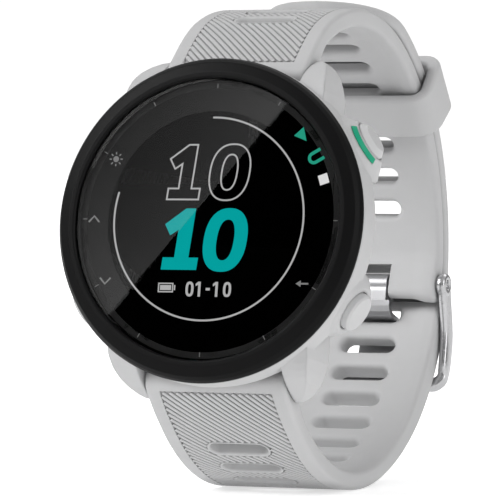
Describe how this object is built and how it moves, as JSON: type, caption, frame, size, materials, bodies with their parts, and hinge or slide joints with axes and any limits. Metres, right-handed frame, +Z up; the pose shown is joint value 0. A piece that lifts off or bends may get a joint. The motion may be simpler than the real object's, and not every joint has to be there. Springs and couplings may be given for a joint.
{
  "type": "running watch",
  "caption": "Round sports watch with polymer case and lugs, black bezel, push buttons, optical sensor back, and a slotted silicone strap closed by a tongue buckle and keeper.",
  "frame": {"origin": "centre of the closed wrist loop, midway across the strap", "axes": "+X across the strap towards the 3 o'clock side, +Y from the dial to the buckle, +Z up towards 12 o'clock; the dial faces -Y and leans back 10 degrees"},
  "size_m": [0.0439, 0.0689, 0.0663],
  "materials": {
    "case_polymer": "light grey fibre-reinforced polymer, satin",
    "bezel_polymer": "satin black",
    "cover_glass": "chemically strengthened glass, glossy",
    "black_adhesive": "black bonding film",
    "display": "black reflective display stack",
    "light_guide": "white light guide film",
    "flex_circuit": "amber polyimide",
    "dark_polymer": "black moulded polymer",
    "circuit_board": "green solder mask",
    "steel": "brushed stainless steel",
    "polished_steel": "polished stainless steel",
    "antenna_metal": "plated stamping",
    "cell_pouch": "silver laminated pouch",
    "piezo_brass": "brass disc",
    "back_polymer": "light grey polymer, fine matt texture",
    "seal_rubber": "black silicone seal",
    "sensor_glass": "dark optical window",
    "led_lens": "green emitters and dark receiver",
    "contact_gold": "gold plated",
    "accent_green": "teal green enamel",
    "button_polymer": "light grey cap, satin",
    "silicone": "light grey silicone, soft matt"
  },
  "bodies": {
    "root": {"case_middle": "case_polymer", "bezel": "bezel_polymer", "lens": "cover_glass", "lens_adhesive": "black_adhesive", "display_panel": "display", "backlight_guide": "light_guide", "display_flex": "flex_circuit", "inner_chassis": "dark_polymer", "main_board": "circuit_board", "shield_can": "steel", "gps_antenna": "antenna_metal", "battery": "cell_pouch", "vibration_motor": "steel", "piezo_beeper": "piezo_brass", "back_cover": "back_polymer", "back_gasket": "seal_rubber", "case_screws": "steel", "sensor_window": "sensor_glass", "sensor_board": "circuit_board", "sensor_leds": "led_lens", "charging_contacts": "contact_gold", "tact_switches": "dark_polymer", "button_seals": "seal_rubber", "start_accent": "accent_green", "strap_upper": "silicone", "strap_lower": "silicone", "upper_spring_bar": "steel", "lower_spring_bar": "steel"},
    "start_key": {"start_button": "button_polymer", "start_clip": "steel", "start_spring": "steel"},
    "back_key": {"back_button": "button_polymer", "back_clip": "steel", "back_spring": "steel"},
    "light_key": {"light_button": "button_polymer", "light_clip": "steel", "light_spring": "steel"},
    "up_key": {"up_button": "button_polymer", "up_clip": "steel", "up_spring": "steel"},
    "down_key": {"down_button": "button_polymer", "down_clip": "steel", "down_spring": "steel"},
    "keeper": {"keeper_loop": "silicone"},
    "buckle": {"buckle_frame": "polished_steel", "buckle_pin": "polished_steel"},
    "tongue": {"buckle_tongue": "steel"},
    "upper_latch": {"upper_release_pin": "steel", "upper_bar_spring": "steel"},
    "lower_latch": {"lower_release_pin": "steel", "lower_bar_spring": "steel"}
  },
  "joints": [
    {"name": "start_press", "type": "slide", "parent": "root", "child": "start_key", "axis": [-0.866, -0.0868, -0.4924], "range_m": [0, 0.00045], "stiffness_N_per_m": 800, "springref_m": -0.0006, "deforming": ["start_spring"]},
    {"name": "back_press", "type": "slide", "parent": "root", "child": "back_key", "axis": [-0.866, 0.0868, 0.4924], "range_m": [0, 0.00045], "stiffness_N_per_m": 800, "springref_m": -0.0006, "deforming": ["back_spring"]},
    {"name": "light_press", "type": "slide", "parent": "root", "child": "light_key", "axis": [0.866, -0.0868, -0.4924], "range_m": [0, 0.00045], "stiffness_N_per_m": 800, "springref_m": -0.0006, "deforming": ["light_spring"]},
    {"name": "up_press", "type": "slide", "parent": "root", "child": "up_key", "axis": [1, 0, 0], "range_m": [0, 0.00045], "stiffness_N_per_m": 800, "springref_m": -0.0006, "deforming": ["up_spring"]},
    {"name": "down_press", "type": "slide", "parent": "root", "child": "down_key", "axis": [0.866, 0.0868, 0.4924], "range_m": [0, 0.00045], "stiffness_N_per_m": 800, "springref_m": -0.0006, "deforming": ["down_spring"]},
    {"name": "keeper_slide", "type": "hinge", "parent": "root", "child": "keeper", "pos_m": [0, 0, 0], "axis": [1, 0, 0], "range_deg": [-34, 26]},
    {"name": "buckle_swing", "type": "hinge", "parent": "root", "child": "buckle", "pos_m": [0, 0.02995, -0.00577], "axis": [1, 0, 0], "range_deg": [0, 4]},
    {"name": "tongue_swing", "type": "hinge", "parent": "root", "child": "tongue", "pos_m": [0, 0.02995, -0.00577], "axis": [1, 0, 0], "range_deg": [0, 4]},
    {"name": "upper_release", "type": "slide", "parent": "root", "child": "upper_latch", "axis": [-1, 0, 0], "range_m": [0, 0.00125], "stiffness_N_per_m": 500, "springref_m": -0.0008, "deforming": ["upper_bar_spring"]},
    {"name": "lower_release", "type": "slide", "parent": "root", "child": "lower_latch", "axis": [-1, 0, 0], "range_m": [0, 0.00125], "stiffness_N_per_m": 500, "springref_m": -0.0008, "deforming": ["lower_bar_spring"]}
  ],
  "couplings": [
    {"joint": "tongue_swing", "follows": "buckle_swing", "ratio": 1}
  ]
}
